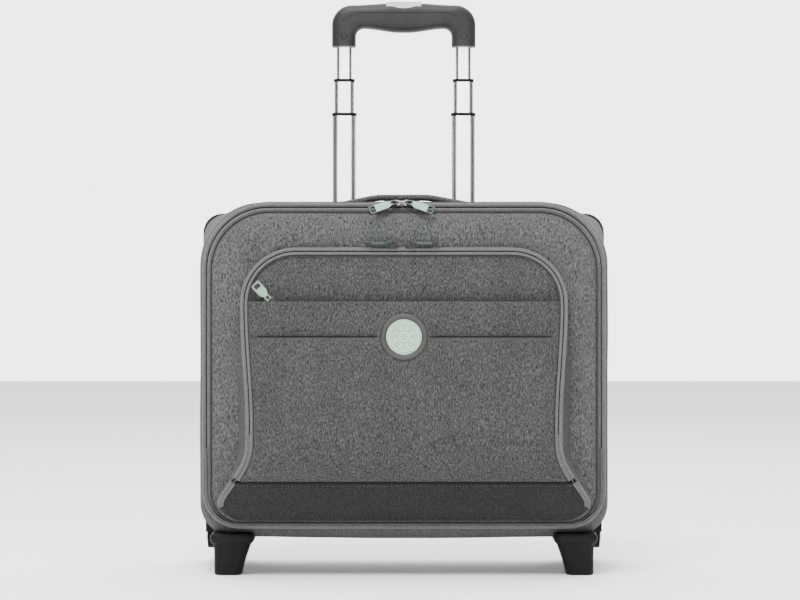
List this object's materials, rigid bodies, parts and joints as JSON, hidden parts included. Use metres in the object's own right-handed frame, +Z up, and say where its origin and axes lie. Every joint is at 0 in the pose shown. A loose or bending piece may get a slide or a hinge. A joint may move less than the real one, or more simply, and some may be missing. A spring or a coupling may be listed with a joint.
{
  "type": "rolling laptop case",
  "caption": "Soft two-wheeled laptop trolley case with a front-opening lid, organiser pocket, slip pocket, zips and a telescopic pull handle.",
  "frame": {"origin": "on the floor, under the middle of the case's bounding box with the handle as pulled out in the picture", "axes": "+X to the right seen from the front, +Y to the back where the wheels and handle are, +Z up"},
  "size_m": [0.451, 0.2224, 0.6275],
  "materials": {
    "melange_fabric": "grey melange polyester, plain weave",
    "band_fabric": "lighter grey woven zip tape",
    "piping_fabric": "dark grey bound piping",
    "padding": "foam padding covered in dark lining",
    "board": "stiffening board",
    "webbing": "woven strap",
    "aluminium": "bright anodised tube",
    "black_plastic": "moulded, fine grain",
    "grip_plastic": "satin dark grey",
    "steel": "zinc-plated",
    "button_metal": "satin silver",
    "pull_metal": "pale satin metal",
    "slider_metal": "black enamel",
    "tyre_rubber": "soft rubber",
    "badge_rubber": "dark soft rubber",
    "badge_mint": "pale mint"
  },
  "bodies": {
    "case": {"main_gusset": "melange_fabric", "back_panel": "melange_fabric", "rear_piping": "piping_fabric", "case_zip_tape": "band_fabric", "tube_cover_panel": "board", "floor_board": "board", "laptop_divider": "padding", "top_handle": "webbing", "outer_tubes": "aluminium", "outer_collars": "black_plastic", "grip_cup": "black_plastic", "base_bracket": "black_plastic", "wheel_axles": "steel", "wheel_housing_left": "black_plastic", "wheel_housing_right": "black_plastic", "foot_left": "black_plastic", "foot_right": "black_plastic", "foot_screws": "steel"},
    "lid": {"lid_panel": "melange_fabric", "lid_zip_tape": "band_fabric", "pocket_gusset": "melange_fabric", "pocket_skirt": "melange_fabric", "pocket_zip_tape": "band_fabric"},
    "pocket_flap": {"pocket_front_panel": "melange_fabric", "flap_zip_tape": "band_fabric", "slip_pocket_panel": "melange_fabric", "badge_ring": "badge_rubber", "badge_disc": "badge_mint"},
    "handle_first": {"first_stage_tubes": "aluminium", "first_stage_collars": "black_plastic", "first_stage_latches": "black_plastic"},
    "handle_second": {"second_stage_tubes": "aluminium", "second_stage_collars": "black_plastic", "second_stage_latches": "black_plastic"},
    "handle_grip": {"third_stage_tubes": "aluminium", "third_stage_latches": "black_plastic", "grip_front_shell": "grip_plastic", "grip_rear_shell": "grip_plastic", "grip_screws": "steel", "button_spring": "steel"},
    "button": {"release_button": "button_metal", "push_yoke": "black_plastic", "push_rods": "steel"},
    "main_left_slider": {"main_left_zip_slider": "slider_metal"},
    "main_left_pull": {"main_left_zip_pull": "pull_metal"},
    "main_right_slider": {"main_right_zip_slider": "slider_metal"},
    "main_right_pull": {"main_right_zip_pull": "pull_metal"},
    "pocket_left_slider": {"pocket_left_zip_slider": "slider_metal"},
    "pocket_left_pull": {"pocket_left_zip_pull": "pull_metal"},
    "pocket_right_slider": {"pocket_right_zip_slider": "slider_metal"},
    "pocket_right_pull": {"pocket_right_zip_pull": "pull_metal"},
    "slip_slider": {"slip_zip_slider": "slider_metal"},
    "slip_pull": {"slip_zip_pull": "pull_metal"},
    "wheel_left": {"wheel_tyre_left": "tyre_rubber", "wheel_hub_left": "black_plastic", "wheel_bearings_left": "steel"},
    "wheel_right": {"wheel_tyre_right": "tyre_rubber", "wheel_hub_right": "black_plastic", "wheel_bearings_right": "steel"}
  },
  "joints": [
    {"name": "lid_open", "type": "hinge", "parent": "case", "child": "lid", "pos_m": [0, -0.064, 0.055], "axis": [1, 0, 0], "range_deg": [0, 50]},
    {"name": "pocket_open", "type": "hinge", "parent": "lid", "child": "pocket_flap", "pos_m": [0, -0.0985, 0.102], "axis": [1, 0, 0], "range_deg": [0, 40]},
    {"name": "handle_first_slide", "type": "slide", "parent": "case", "child": "handle_first", "axis": [0, 0, 1], "range_m": [-0.153, 0.08]},
    {"name": "handle_second_slide", "type": "slide", "parent": "handle_first", "child": "handle_second", "axis": [0, 0, 1], "range_m": [-0.0335, 0.17]},
    {"name": "handle_grip_slide", "type": "slide", "parent": "handle_second", "child": "handle_grip", "axis": [0, 0, 1], "range_m": [-0.035, 0.17]},
    {"name": "button_press", "type": "slide", "parent": "handle_grip", "child": "button", "axis": [0, 0, -1], "range_m": [0, 0.004], "stiffness_N_per_m": 1500, "springref_m": -0.002, "deforming": ["button_spring"]},
    {"name": "wheel_left_roll", "type": "hinge", "parent": "case", "child": "wheel_left", "pos_m": [-0.195, 0.0822, 0.029], "axis": [1, 0, 0], "continuous": true},
    {"name": "wheel_right_roll", "type": "hinge", "parent": "case", "child": "wheel_right", "pos_m": [0.195, 0.0822, 0.029], "axis": [1, 0, 0], "continuous": true},
    {"name": "main_left_zip_run", "type": "slide", "parent": "lid", "child": "main_left_slider", "axis": [-1, 0, 0], "range_m": [0, 0.104]},
    {"name": "main_left_pull_lift", "type": "hinge", "parent": "main_left_slider", "child": "main_left_pull", "pos_m": [-0.0091, -0.06968, 0.39765], "axis": [-0.3746, 0.4636, 0.803], "range_deg": [0, 100]},
    {"name": "pocket_left_zip_run", "type": "slide", "parent": "pocket_flap", "child": "pocket_left_slider", "axis": [-1, 0, 0], "range_m": [0, 0.088]},
    {"name": "pocket_left_pull_lift", "type": "hinge", "parent": "pocket_left_slider", "child": "pocket_left_pull", "pos_m": [-0.012, -0.0795, 0.3537], "axis": [0, 1, 0], "range_deg": [0, 100]},
    {"name": "main_right_zip_run", "type": "slide", "parent": "lid", "child": "main_right_slider", "axis": [1, 0, 0], "range_m": [0, 0.104]},
    {"name": "main_right_pull_lift", "type": "hinge", "parent": "main_right_slider", "child": "main_right_pull", "pos_m": [0.0041, -0.06968, 0.39765], "axis": [-0.3746, -0.4636, -0.803], "range_deg": [0, 100]},
    {"name": "pocket_right_zip_run", "type": "slide", "parent": "pocket_flap", "child": "pocket_right_slider", "axis": [1, 0, 0], "range_m": [0, 0.088]},
    {"name": "pocket_right_pull_lift", "type": "hinge", "parent": "pocket_right_slider", "child": "pocket_right_pull", "pos_m": [0.007, -0.0795, 0.3537], "axis": [0, -1, 0], "range_deg": [0, 100]},
    {"name": "slip_zip_run", "type": "slide", "parent": "pocket_flap", "child": "slip_slider", "axis": [1, 0, 0], "range_m": [0, 0.282]},
    {"name": "slip_pull_lift", "type": "hinge", "parent": "slip_slider", "child": "slip_pull", "pos_m": [-0.142, -0.09025, 0.2944], "axis": [0.7314, 0.0819, 0.6771], "range_deg": [0, 100]}
  ]
}
